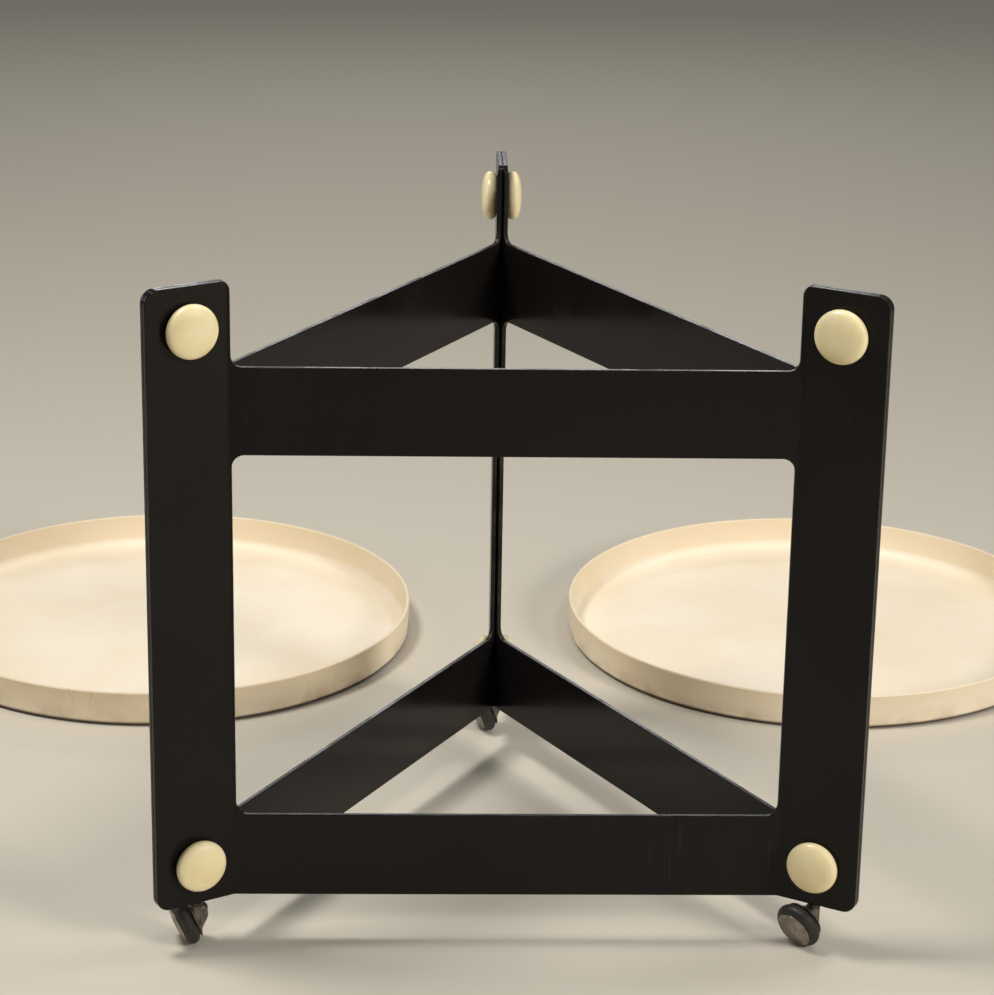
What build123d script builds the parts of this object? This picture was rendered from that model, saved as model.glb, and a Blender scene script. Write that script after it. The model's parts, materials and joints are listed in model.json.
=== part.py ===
from build123d import *
import math
import os

# Triangular serving cart, in millimetres and degrees.
# Three bent panels stand back to back at the corners, where knobs on studs clamp them into fins.
# A ball caster sits in the seam of each fin. Two round trays, which seat on the rails between the
# posts, stand on the floor behind the cart.
# The origin is on the floor, on the vertical axis of the frame. The front faces -Y.

# Trays
TRAY_DIAMETER = 598.0
TRAY_HEIGHT = 41.5
TRAY_WALL = 4.0
TRAY_FLOOR = 4.0
TRAY_DRAFT = 2.0  # how much narrower the wall stands at its foot
TRAY_COVE = 11.0  # round between floor and wall, inside
TRAY_HEEL = 7.0  # round under the wall, outside
TRAY_RIM_ROUND = 1.6
TRAY_BEHIND = 649.5  # where the trays stand, behind and to each side
LEFT_TRAY_ASIDE = 392.5
RIGHT_TRAY_ASIDE = 399.0

# Panels
PANEL_HEIGHT = 610.0
POST_WIDTH = 86.0
LOWER_RAIL = 84.0
UPPER_RAIL = 84.0
HORN = 81.0  # height of the posts above the upper rail
SHEET = 5.0
BEND_RADIUS = 4.0  # on the hollow side of the bend
BEND_MARGIN = 1.5  # flat between the bend and the cut-outs
TRAY_CLEARANCE = 0.8  # between a seated tray and the posts
WINDOW_CORNER = 12.0
NOTCH_CORNER = 10.0
TIP_INNER = 10.5
TIP_OUTER = 13.0
EDGE_ROUND = 0.8

# Knobs, studs and inserts
KNOB_DIAMETER = 51.0
KNOB_EDGE = 7.0  # radius of the rounded rim
KNOB_CROWN = 2.0  # rise of the face above the rim
STUD_DIAMETER = 6.0
STUD_DEPTH = 9.0  # how far a stud reaches into a knob
STUD_CLEARANCE = 0.3
INSERT_WALL = 2.0
INSERT_LENGTH = 10.0
BOND_GAP = 0.05  # glued, pressed and screwed joints

# Casters
WHEEL_DIAMETER = 47.6
TYRE_WIDTH = 13.8
TYRE_SEAT = 15.0  # radius where the tyre sits on the hub
HUB_WIDTH = 11.5
WHEEL_TILT = 22.0
WHEEL_OFFSET = 8.8  # wheel centre from the stem, towards the hub cap
WHEEL_TRAIL = 11.3  # and along the rolling direction
WHEEL_HEADROOM = 2.5  # between the wheel and the panels
AXLE_DIAMETER = 5.0
AXLE_HEAD = 9.0
AXLE_HEAD_THICKNESS = 1.5
RUNNING_GAP = 0.05
SIDE_GAP = 0.3
CAP_DIAMETER = 37.2
CAP_RISE = 3.0
CAP_SHEET = 1.0
CAP_SPIGOT = 16.0
CAP_SPIGOT_LENGTH = 1.8
HOOD_GAP = 0.8  # between the tyre and the hood
HOOD_INSET = 3.5  # how far the hood's rim stands inside the tread
HOOD_RISE = 6.5
HOOD_WALL = 1.8
HOOD_LIP = 1.5  # thickness of the hood at its rim
NOSE_REACH = 16.8  # height of the bell-shaped hood over its rim
NOSE_RADIUS = 10.4
AXLE_BOSS = 10.0
SHOULDER_RADIUS = 7.0  # round bridge from the stem's housing to the nose
SHOULDER_BACK = 9.9  # from the stem
SHOULDER_ANGLE = 49.0  # from the hub cap's line, towards the trailing side
SHOULDER_DEPTH = 8.0  # of its centre below the housing's top
HOUSING_DEPTH = 19.0
STEM_DIAMETER = 6.0
STEM_FOOT_DEPTH = 10.0  # how far the stem goes into the neck
COLLAR_DIAMETER = 11.0
COLLAR_THICKNESS = 2.5
SOCKET_WALL = 0.95
SOCKET_LENGTH = 28.0
SOCKET_FLANGE = 11.5
SOCKET_FLANGE_THICKNESS = 1.2
RING_WIRE = 1.4  # height of the retaining ring
RING_STAND = 0.7  # how far it stands out of the stem
RING_BITE = 0.6  # how deep it sits in the stem
STEM_TIP = 1.2  # stem above the ring

# Corner azimuths, and the way each caster's hub cap points in the photographed pose
CORNER_ANGLES = {"left": 210.0, "right": 330.0, "rear": 90.0}
CASTER_ANGLES = {"left": 201.5, "right": 224.0, "rear": 201.0}
PANEL_ANGLES = {"front_panel": 0.0, "right_panel": 120.0, "left_panel": 240.0}
# Sides of the cart that the two knobs of a pair face, clockwise one first
KNOB_SIDES = {"left": ("side", "front"), "right": ("front", "side"), "rear": ("right", "left")}

# How a cylinder stands on, or hangs from, its place
STANDING = (Align.CENTER, Align.CENTER, Align.MIN)
HANGING = (Align.CENTER, Align.CENTER, Align.MAX)

# Wheel and caster heights
tread_round = TYRE_WIDTH / 2
tyre_ring = WHEEL_DIAMETER / 2 - tread_round
wheel_height = tyre_ring * math.cos(math.radians(WHEEL_TILT)) + tread_round
panel_bottom = 2 * wheel_height + WHEEL_HEADROOM
flange_bottom = panel_bottom - SOCKET_FLANGE_THICKNESS
collar_top = flange_bottom - SIDE_GAP
neck_top = collar_top - COLLAR_THICKNESS
stem_radius = STEM_DIAMETER / 2
socket_bore = stem_radius + RUNNING_GAP
socket_radius = socket_bore + SOCKET_WALL
ring_radius = stem_radius + RING_STAND
pocket_radius = max(socket_radius + BOND_GAP, ring_radius + SIDE_GAP)
socket_top = panel_bottom + SOCKET_LENGTH
ring_bottom = socket_top + SIDE_GAP
stem_top = ring_bottom + RING_WIRE + STEM_TIP
pocket_top = stem_top + SIDE_GAP
head_depth = CAP_SPIGOT_LENGTH + SIDE_GAP + AXLE_HEAD_THICKNESS

# Panel plan
FIN_ANGLE = 30.0  # between a rail and the fins that it bends into
half_bend = math.tan(math.radians(FIN_ANGLE / 2))
bend_setback = (BEND_RADIUS + SHEET) * half_bend + BEND_MARGIN
post_inner = TRAY_DIAMETER / 2 + TRAY_CLEARANCE
bend_line = post_inner + bend_setback * math.cos(math.radians(FIN_ANGLE))
post_outer = post_inner + POST_WIDTH
post_middle = (post_inner + post_outer) / 2
rail_inside = bend_line * math.sin(math.radians(FIN_ANGLE))
bend_x = bend_line * math.cos(math.radians(FIN_ANGLE))
window_half = bend_x - bend_setback
upper_rail_top = PANEL_HEIGHT - HORN
upper_rail_bottom = upper_rail_top - UPPER_RAIL
knob_heights = {
    "lower": panel_bottom + LOWER_RAIL / 2,
    "upper": panel_bottom + PANEL_HEIGHT - HORN / 2,
}
insert_radius = STUD_DIAMETER / 2 + INSERT_WALL
rim_round = min(TRAY_RIM_ROUND, 0.45 * TRAY_WALL)


def at_corner(azimuth):
    """Frame of a fin: local X runs outwards along it, local Y squarely across it."""
    return Rot(0, 0, azimuth)


def panel_line(offset):
    """Plan line of the front panel, at a distance in front of its contact faces."""
    angle = math.radians(FIN_ANGLE)
    end_x = post_outer * math.cos(angle) - offset * math.sin(angle)
    end_y = -post_outer * math.sin(angle) - offset * math.cos(angle)
    turn_x = bend_x - offset * half_bend
    rail_y = -rail_inside - offset
    points = [(-end_x, end_y), (-turn_x, rail_y), (turn_x, rail_y), (end_x, end_y)]
    return FilletPolyline(*points, radius=BEND_RADIUS + SHEET - offset)


def notch_outline():
    """Cut between the posts above the upper rail, seen from the front, with its rounded tips."""
    over = HORN + TIP_OUTER
    tip = window_half + TIP_INNER
    throat = Polyline(
        (-window_half, HORN - TIP_INNER),
        (-window_half, 0),
        (window_half, 0),
        (window_half, HORN - TIP_INNER),
    )
    right_tip = RadiusArc((window_half, HORN - TIP_INNER), (tip, HORN), TIP_INNER)
    left_tip = RadiusArc((-tip, HORN), (-window_half, HORN - TIP_INNER), TIP_INNER)
    lid = Polyline((tip, HORN), (tip, over), (-tip, over), (-tip, HORN))
    outline = make_face([throat, right_tip, lid, left_tip])
    feet = outline.vertices().sort_by(Axis.Y)[:2]
    return fillet(feet, NOTCH_CORNER)


def front_cut(outline, height):
    """Prism of a front-view outline, standing at a height above the panels' lower edge."""
    view = Plane((0, -rail_inside, panel_bottom + height), x_dir=(1, 0, 0), z_dir=(0, -1, 0))
    return extrude(view * outline, amount=post_outer, both=True)


def rounded_edges(panel):
    """Long outline edges of a panel, without the smooth seams across and along its bends."""
    edges = []
    for edge in panel.edges():
        middle = edge.position_at(0.5)
        upright = edge.geom_type == GeomType.LINE and abs(edge.tangent_at(0.5).Z) > 0.99
        at_post_edge = abs(abs(middle.X) - window_half) < BEND_MARGIN / 2
        at_fin_end = math.hypot(middle.X, middle.Y) > post_outer - SHEET
        across = abs(edge.length - SHEET) < SHEET / 100
        if not across and (not upright or at_post_edge or at_fin_end):
            edges.append(edge)
    return edges


def build_panel():
    """Front panel: bent sheet with window, notch, stud holes and halves of the socket pockets."""
    contact, front = panel_line(0), panel_line(SHEET)
    ends = [Line(contact @ 0, front @ 0), Line(contact @ 1, front @ 1)]
    sheet = make_face([contact, front, *ends])
    panel = Pos(0, 0, panel_bottom) * extrude(sheet, amount=PANEL_HEIGHT, dir=(0, 0, 1))
    tips = [
        edge
        for edge in panel.edges()
        if abs(edge.length - SHEET) < SHEET / 100 and abs(edge.tangent_at(0.5).Z) < 0.01
    ]
    panel = fillet(tips, TIP_OUTER)
    window_height = upper_rail_bottom - LOWER_RAIL
    window = RectangleRounded(2 * window_half, window_height, WINDOW_CORNER)
    panel -= front_cut(window, LOWER_RAIL + window_height / 2)
    panel -= front_cut(notch_outline(), upper_rail_top)
    panel = fillet(rounded_edges(panel), EDGE_ROUND)
    for corner in ("left", "right"):
        for height in knob_heights.values():
            hole = Cylinder(STUD_DIAMETER / 2 + STUD_CLEARANCE, 4 * SHEET)
            place = Pos(post_middle, 0, height) * Rot(90, 0, 0)
            panel -= at_corner(CORNER_ANGLES[corner]) * place * hole
        reach = pocket_top - panel_bottom
        pocket = Cylinder(pocket_radius, 2 * reach)
        panel -= at_corner(CORNER_ANGLES[corner]) * Pos(post_middle, 0, panel_bottom) * pocket
    return panel


def build_knob():
    """Pebble-shaped knob standing on the XY plane, with a blind bore for its insert."""
    radius = KNOB_DIAMETER / 2
    rim = radius - KNOB_EDGE
    top = 2 * KNOB_EDGE + KNOB_CROWN
    crown = (rim**2 + (top - KNOB_EDGE) ** 2 - KNOB_EDGE**2) / (2 * KNOB_CROWN)
    lean = math.atan2(rim, crown - top + KNOB_EDGE)
    shoulder = (crown * math.sin(lean), top - crown + crown * math.cos(lean))
    half = lean / 2
    crest = (crown * math.sin(half), top - crown + crown * math.cos(half))
    profile = make_face(
        [
            Line((0, 0), (rim, 0)),
            ThreePointArc((rim, 0), (radius, KNOB_EDGE), shoulder),
            ThreePointArc(shoulder, crest, (0, top)),
            Line((0, top), (0, 0)),
        ]
    )
    body = revolve(Plane.XZ * profile, Axis.Z)
    bore = Cylinder(insert_radius + BOND_GAP, INSERT_LENGTH + BOND_GAP, align=STANDING)
    return body - bore


def build_insert():
    """Threaded bush of a knob, standing on the XY plane."""
    bush = Cylinder(insert_radius, INSERT_LENGTH, align=STANDING)
    return bush - Cylinder(STUD_DIAMETER / 2 + BOND_GAP, 3 * INSERT_LENGTH)


def on_fin(azimuth, height, side):
    """Place on the face of a fin, with local Z pointing away from it."""
    face = Pos(post_middle, side * SHEET, height) * Rot(-90 * side, 0, 0)
    return at_corner(azimuth) * face


def ring_profile(points):
    """Solid of revolution about Z from a closed outline of radius and height."""
    return revolve(Plane.XZ * make_face(Polyline(*points, close=True)), Axis.Z)


def build_socket():
    """Flanged sleeve that the panels clamp, with the fin's lower edge at its flange."""
    flange = SOCKET_FLANGE / 2
    return ring_profile(
        [
            (socket_bore, flange_bottom),
            (flange, flange_bottom),
            (flange, panel_bottom),
            (socket_radius, panel_bottom),
            (socket_radius, socket_top),
            (socket_bore, socket_top),
        ]
    )


def build_stem():
    """Caster stem with its collar and the groove of the retaining ring."""
    groove = stem_radius - RING_BITE
    ring_top = ring_bottom + RING_WIRE
    return ring_profile(
        [
            (0, neck_top - STEM_FOOT_DEPTH),
            (stem_radius, neck_top - STEM_FOOT_DEPTH),
            (stem_radius, neck_top),
            (COLLAR_DIAMETER / 2, neck_top),
            (COLLAR_DIAMETER / 2, collar_top),
            (stem_radius, collar_top),
            (stem_radius, ring_bottom),
            (groove, ring_bottom),
            (groove, ring_top),
            (stem_radius, ring_top),
            (stem_radius, stem_top),
            (0, stem_top),
        ]
    )


def build_ring():
    """Split retaining ring in the stem's groove."""
    inner = stem_radius - RING_BITE + BOND_GAP
    ring = Cylinder(ring_radius, RING_WIRE - BOND_GAP, align=STANDING)
    ring -= Cylinder(inner, 3 * RING_WIRE)
    ring -= Pos(ring_radius, 0, 0) * Box(2 * ring_radius, inner, 3 * RING_WIRE)
    return Pos(0, 0, ring_bottom) * ring


def to_wheel():
    """Place of the wheel in its caster: local Z is the axle, pointing out through the hub cap."""
    return Pos(WHEEL_OFFSET, -WHEEL_TRAIL, wheel_height) * Rot(0, 90 + WHEEL_TILT, 0)


def build_tyre():
    """Tyre with a full round tread, about the axle, centred on the wheel's middle plane."""
    inner = TYRE_SEAT + BOND_GAP
    outer = WHEEL_DIAMETER / 2
    seat = Polyline(
        (tyre_ring, -tread_round),
        (inner, -tread_round),
        (inner, tread_round),
        (tyre_ring, tread_round),
    )
    tread = ThreePointArc((tyre_ring, tread_round), (outer, 0), (tyre_ring, -tread_round))
    return revolve(Plane.XZ * make_face([seat, tread]), Axis.Z)


def build_hub():
    """Wheel hub with its axle bore, the axle head's counterbore and the hub cap's recess."""
    half = HUB_WIDTH / 2
    hub = Cylinder(TYRE_SEAT, HUB_WIDTH)
    hub -= Cylinder(AXLE_DIAMETER / 2 + RUNNING_GAP, 2 * HUB_WIDTH)
    spigot = CAP_SPIGOT / 2
    recess = Cylinder(spigot + BOND_GAP, CAP_SPIGOT_LENGTH + head_depth, align=STANDING)
    return hub - Pos(0, 0, half - head_depth) * recess


def build_axle():
    """Riveted axle, with its head in the hub and its foot in the hood."""
    radius = AXLE_DIAMETER / 2
    floor = HUB_WIDTH / 2 - head_depth + SIDE_GAP
    foot = HOOD_WALL - (tread_round + HOOD_GAP + HOOD_RISE)
    return ring_profile(
        [
            (0, foot),
            (radius, foot),
            (radius, floor),
            (AXLE_HEAD / 2, floor),
            (AXLE_HEAD / 2, floor + AXLE_HEAD_THICKNESS),
            (0, floor + AXLE_HEAD_THICKNESS),
        ]
    )


def dome(radius, rise):
    """Spherical cap standing on the XY plane."""
    curve = (radius**2 + rise**2) / (2 * rise)
    half = math.asin(min(1.0, radius / curve)) / 2
    crest = (curve * math.sin(half), rise - curve + curve * math.cos(half))
    profile = make_face(
        [
            Line((0, 0), (radius, 0)),
            ThreePointArc((radius, 0), crest, (0, rise)),
            Line((0, rise), (0, 0)),
        ]
    )
    return revolve(Plane.XZ * profile, Axis.Z)


def build_cap():
    """Pressed hub cap: a thin dome with a spigot that snaps into the hub."""
    seat = tread_round + BOND_GAP
    radius = CAP_DIAMETER / 2
    spigot = CAP_SPIGOT / 2
    foot = HUB_WIDTH / 2 - CAP_SPIGOT_LENGTH - seat
    whole = dome(radius, CAP_RISE)
    shell = whole - dome(radius - CAP_SHEET, CAP_RISE - CAP_SHEET)
    ring = Cylinder(spigot, CAP_RISE - foot, align=STANDING)
    ring -= Cylinder(spigot - CAP_SHEET, 4 * TYRE_WIDTH)
    keep = whole + Pos(0, 0, foot) * Cylinder(spigot, -foot, align=STANDING)
    return Pos(0, 0, seat) * (shell + (Pos(0, 0, foot) * ring & keep))


def build_cup(rim):
    """Bell-shaped cup of the hood with its solid nose, standing on the XY plane by its rim."""
    tip = (0, NOSE_REACH)
    waist, shoulder = (NOSE_RADIUS, 2 * HOOD_LIP), (NOSE_RADIUS, NOSE_REACH)
    profile = make_face(
        [
            Line((0, 0), (rim, 0)),
            Line((rim, 0), (rim, HOOD_LIP)),
            Bezier((rim, HOOD_LIP), waist, shoulder, tip),
            Line(tip, (0, 0)),
        ]
    )
    return revolve(Plane.XZ * profile, Axis.Z) - dome(rim - HOOD_WALL, HOOD_RISE - HOOD_WALL)


def build_neck():
    """Round housing of the stem, with the shoulder that joins it to the hood's nose."""
    housing = Cylinder(COLLAR_DIAMETER / 2, HOUSING_DEPTH, align=HANGING)
    shoulder = Rot(0, 0, SHOULDER_ANGLE) * Pos(-SHOULDER_BACK, 0, -SHOULDER_DEPTH)
    return Pos(0, 0, neck_top) * (housing + shoulder * Sphere(SHOULDER_RADIUS))


def build_hood():
    """Cast hood: a bell behind the wheel that grows into the housing of the stem."""
    rim_plane = tread_round + HOOD_GAP
    away = to_wheel() * Rot(180, 0, 0) * Pos(0, 0, rim_plane)
    hub_face = rim_plane - HUB_WIDTH / 2 - SIDE_GAP
    boss = Cylinder(AXLE_BOSS / 2, hub_face + HOOD_RISE - HOOD_WALL / 2, align=STANDING)
    boss = Pos(0, 0, -hub_face) * boss
    clear = Cylinder(WHEEL_DIAMETER, 2 * WHEEL_DIAMETER, align=HANGING)
    cup = build_cup(WHEEL_DIAMETER / 2 - HOOD_INSET)
    hood = (build_neck() - away * clear) + away * cup + away * boss
    hole_depth = rim_plane + HOOD_RISE - HOOD_WALL + BOND_GAP
    axle_hole = Cylinder(AXLE_DIAMETER / 2 + BOND_GAP, hole_depth, align=STANDING)
    hood -= to_wheel() * Rot(180, 0, 0) * axle_hole
    stem_hole = Cylinder(stem_radius + BOND_GAP, STEM_FOOT_DEPTH + BOND_GAP, align=HANGING)
    return hood - Pos(0, 0, neck_top) * stem_hole


def build_tray():
    """Round tray on the floor, about its own axis."""
    radius = TRAY_DIAMETER / 2
    foot = radius - TRAY_DRAFT
    corners = [
        (0, 0),
        (foot, 0),
        (radius, TRAY_HEIGHT),
        (radius - TRAY_WALL, TRAY_HEIGHT),
        (foot - TRAY_WALL, TRAY_FLOOR),
        (0, TRAY_FLOOR),
    ]
    profile = make_face(Polyline(*corners, close=True))
    rounds = [None, TRAY_HEEL, rim_round, rim_round, TRAY_COVE, None]
    for place, amount in zip(corners, rounds):
        if amount:
            profile = fillet(profile.vertices().sort_by_distance((*place, 0))[:1], amount)
    return revolve(Plane.XZ * profile, Axis.Z)


def build_frame():
    """Panels, knobs, studs, inserts and sockets, by node name."""
    nodes = {}
    panel = build_panel()
    for name, turn in PANEL_ANGLES.items():
        nodes[name] = Rot(0, 0, turn) * panel
    knob, insert, socket = build_knob(), build_insert(), build_socket()
    stud = Cylinder(STUD_DIAMETER / 2, 2 * (SHEET + STUD_DEPTH))
    studs, inserts = [], []
    for corner, azimuth in CORNER_ANGLES.items():
        for level, height in knob_heights.items():
            for word, side in zip(KNOB_SIDES[corner], (-1, 1)):
                place = on_fin(azimuth, height, side)
                nodes[f"{corner}_{level}_{word}_knob"] = place * knob
                inserts.append(place * insert)
            through = at_corner(azimuth) * Pos(post_middle, 0, height) * Rot(90, 0, 0)
            studs.append(through * stud)
        nodes[f"{corner}_caster_socket"] = at_corner(azimuth) * Pos(post_middle, 0, 0) * socket
    nodes["clamp_studs"] = Compound(children=studs)
    nodes["knob_inserts"] = Compound(children=inserts)
    return nodes


def build_casters():
    """Swivel and wheel pieces of the three casters, by node name."""
    nodes = {}
    swivel = {
        "caster_stem": build_stem(),
        "caster_ring": build_ring(),
        "caster_hood": build_hood(),
    }
    wheel = {
        "wheel_axle": build_axle(),
        "wheel_hub": build_hub(),
        "wheel_tyre": build_tyre(),
        "hub_cap": build_cap(),
    }
    for corner, azimuth in CORNER_ANGLES.items():
        angle = math.radians(azimuth)
        stand = Pos(post_middle * math.cos(angle), post_middle * math.sin(angle), 0)
        stand *= Rot(0, 0, CASTER_ANGLES[corner])
        for name, solid in swivel.items():
            nodes[f"{corner}_{name}"] = stand * solid
        for name, solid in wheel.items():
            nodes[f"{corner}_{name}"] = stand * to_wheel() * solid
    return nodes


def build_trays():
    """The two trays where they stand, by node name."""
    tray = build_tray()
    return {
        "left_tray": Pos(-LEFT_TRAY_ASIDE, TRAY_BEHIND, 0) * tray,
        "right_tray": Pos(RIGHT_TRAY_ASIDE, TRAY_BEHIND, 0) * tray,
    }


os.makedirs("parts", exist_ok=True)
for node, shape in {**build_frame(), **build_casters(), **build_trays()}.items():
    export_step(shape, f"parts/{node}.step")
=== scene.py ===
"""Looks of a triangular serving cart and its two round trays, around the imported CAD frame.

Sizes in the classes are millimetres and degrees. Blender's own units are metres.
"""

import json
import logging
import math
from dataclasses import dataclass, field
from enum import Enum
from typing import Any, Iterable, Sequence

import bmesh
import bpy
from mathutils import Matrix, Vector


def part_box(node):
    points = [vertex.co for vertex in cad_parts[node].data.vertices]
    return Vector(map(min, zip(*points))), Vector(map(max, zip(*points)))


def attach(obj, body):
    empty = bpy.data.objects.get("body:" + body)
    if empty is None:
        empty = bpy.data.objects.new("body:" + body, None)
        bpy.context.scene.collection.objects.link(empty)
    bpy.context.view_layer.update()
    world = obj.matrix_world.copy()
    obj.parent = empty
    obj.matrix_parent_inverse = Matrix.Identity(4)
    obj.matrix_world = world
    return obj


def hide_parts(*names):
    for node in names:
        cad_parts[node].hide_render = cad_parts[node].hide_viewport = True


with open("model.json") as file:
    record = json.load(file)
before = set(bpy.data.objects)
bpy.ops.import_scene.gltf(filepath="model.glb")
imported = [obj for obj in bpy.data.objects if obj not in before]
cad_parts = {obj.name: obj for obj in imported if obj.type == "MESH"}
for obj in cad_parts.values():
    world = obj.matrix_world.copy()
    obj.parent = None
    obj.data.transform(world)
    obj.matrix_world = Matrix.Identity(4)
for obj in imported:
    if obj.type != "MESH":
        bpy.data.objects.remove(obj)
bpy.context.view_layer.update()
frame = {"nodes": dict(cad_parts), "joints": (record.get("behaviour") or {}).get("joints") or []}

LOG = logging.getLogger("serving_cart")
MM = 0.001
MERGE = 1e-6  # metres within which two vertices are one
SHEET = 5.0  # thickness of the panels
MIX_SHARE, MIX_UNDER, MIX_OVER, MIX_COLOUR = 0, 6, 7, 2  # sockets of a Mix node for colours
Point = tuple[float, float]
Triple = tuple[float, float, float]


class Corner(Enum):
    """Corners of the frame, where two panels meet in a fin."""

    LEFT = "left"
    RIGHT = "right"
    REAR = "rear"


class Level(Enum):
    """Heights at which knobs clamp the fins."""

    LOWER = "lower"
    UPPER = "upper"


class Side(Enum):
    """Sides of the cart, as the trays and the knobs are named."""

    LEFT = "left"
    RIGHT = "right"
    FRONT = "front"
    SIDE = "side"


def joint(name: str) -> dict[str, Any]:
    """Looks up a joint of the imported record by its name."""
    return next(j for j in frame["joints"] if j["name"] == name)


def linear(code: str) -> tuple[float, float, float, float]:
    """Turns an sRGB hex colour into Blender's linear values.

    Args:
        code: Colour such as "#efe2b8".

    Returns:
        Linear red, green, blue and an alpha of 1.
    """
    shares = [int(code[i : i + 2], 16) / 255 for i in (1, 3, 5)]
    red, green, blue = [
        s / 12.92 if s <= 0.04045 else ((s + 0.055) / 1.055) ** 2.4 for s in shares
    ]
    return red, green, blue, 1.0


def per_metre(size: float) -> float:
    """Texture scale that repeats a feature about every so many millimetres."""
    return 1 / (size * MM)


@dataclass
class Skin:
    """A material in the making: its nodes, and the sockets that its layers build on.

    Attributes:
        tree: Node tree of the material.
        place: Object coordinates.
        colour: Colour so far.
        gloss: Roughness so far.
        height: Height pattern for the bump, once there is one.
    """

    tree: bpy.types.NodeTree
    place: bpy.types.NodeSocket | None = None
    colour: bpy.types.NodeSocket | None = None
    gloss: bpy.types.NodeSocket | None = None
    height: bpy.types.NodeSocket | None = None

    def add(
        self, kind: str, output: int | str | None, inputs: dict[Any, Any], **settings: Any
    ) -> bpy.types.NodeSocket | None:
        """Adds a node with its settings, values and links.

        Args:
            kind: Node type.
            output: Output that is wanted, by name or index, or None for an end node.
            inputs: Value or linked socket for each input, by name or index.
            **settings: Properties of the node itself.

        Returns:
            The wanted output.
        """
        node = self.tree.nodes.new(kind)
        for name, value in settings.items():
            setattr(node, name, value)
        for key, value in inputs.items():
            if isinstance(value, bpy.types.NodeSocket):
                self.tree.links.new(value, node.inputs[key])
            else:
                node.inputs[key].default_value = value
        return None if output is None else node.outputs[output]

    def blots(self, size: float, detail: float, start: float, end: float) -> bpy.types.NodeSocket:
        """Mask of irregular patches.

        Args:
            size: About how far apart the patches are.
            detail: How ragged their outlines are.
            start: Level of the pattern where a patch begins.
            end: Level where it is full.

        Returns:
            The mask, 0 to 1.
        """
        spread = {"Vector": self.place, "Scale": per_metre(size), "Detail": detail}
        level = self.add("ShaderNodeTexNoise", "Fac", spread)
        ends = {"Value": level, "From Min": start, "From Max": end}
        return self.add("ShaderNodeMapRange", "Result", ends)

    def lay(self, code: str, *masks: bpy.types.NodeSocket, share: float) -> bpy.types.NodeSocket:
        """Lays a colour over the surface where all the masks meet.

        Args:
            code: The colour, sRGB.
            *masks: Masks, 0 to 1.
            share: How much of the colour shows at most.

        Returns:
            The share that it covers at each point.
        """
        cover = self.add("ShaderNodeMath", 0, {0: masks[0], 1: share}, operation="MULTIPLY")
        for mask in masks[1:]:
            cover = self.add("ShaderNodeMath", 0, {0: cover, 1: mask}, operation="MULTIPLY")
        layers = {MIX_SHARE: cover, MIX_UNDER: self.colour, MIX_OVER: linear(code)}
        self.colour = self.add("ShaderNodeMix", MIX_COLOUR, layers, data_type="RGBA")
        return cover

    def dull(self, cover: bpy.types.NodeSocket, amount: float) -> None:
        """Roughens the surface where something covers it."""
        rougher = {0: cover, 1: amount, 2: self.gloss}
        self.gloss = self.add("ShaderNodeMath", 0, rougher, operation="MULTIPLY_ADD")


@dataclass(frozen=True)
class Finish:
    """A surface finish, which makes its own material.

    Attributes:
        name: The real material, as the material is named.
        slot: Material slot of the record that it dresses.
        colour: Main colour, sRGB.
        second: Colour that its clouds or tarnish drift to.
        roughness: Middle roughness.
        spread: How far the roughness varies either way.
        clouds: Size of the drifting patches.
        relief: Depth of its bump.
        metallic: 1 for a bare metal.
        ior: Index of refraction.
        specular: Level of the plain reflection.
    """

    name: str
    slot: str
    colour: str
    second: str
    roughness: float
    spread: float
    clouds: float
    relief: float
    metallic: float = 0.0
    ior: float = 1.5
    specular: float = 0.5

    def material(self) -> bpy.types.Material:
        """Makes the material: drifting clouds, the finish's own layers, and its bump.

        Returns:
            The material.
        """
        made = bpy.data.materials.new(self.name)
        made.use_nodes = True
        made.node_tree.nodes.clear()
        skin = Skin(made.node_tree)
        skin.place = skin.add("ShaderNodeTexCoord", "Object", {})
        drift = skin.blots(self.clouds, detail=4, start=0.35, end=0.7)
        ends = {MIX_SHARE: drift, MIX_UNDER: linear(self.colour), MIX_OVER: linear(self.second)}
        skin.colour = skin.add("ShaderNodeMix", MIX_COLOUR, ends, data_type="RGBA")
        low, high = self.roughness - self.spread, self.roughness + self.spread
        ends = {"Value": drift, "To Min": low, "To Max": high}
        skin.gloss = skin.add("ShaderNodeMapRange", "Result", ends)
        self.layers(skin)
        bump = {"Height": skin.height, "Distance": self.relief * MM, "Strength": 1.0}
        looks = {
            "Base Color": skin.colour,
            "Roughness": skin.gloss,
            "Normal": skin.add("ShaderNodeBump", "Normal", bump),
            "Metallic": self.metallic,
            "IOR": self.ior,
            "Specular IOR Level": self.specular,
        }
        surface = skin.add("ShaderNodeBsdfPrincipled", "BSDF", looks)
        skin.add("ShaderNodeOutputMaterial", None, {"Surface": surface})
        return made

    def layers(self, skin: Skin) -> None:
        """Adds what only this finish has. Each finish sets at least the height.

        Args:
            skin: The material in the making.
        """
        raise NotImplementedError


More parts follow.
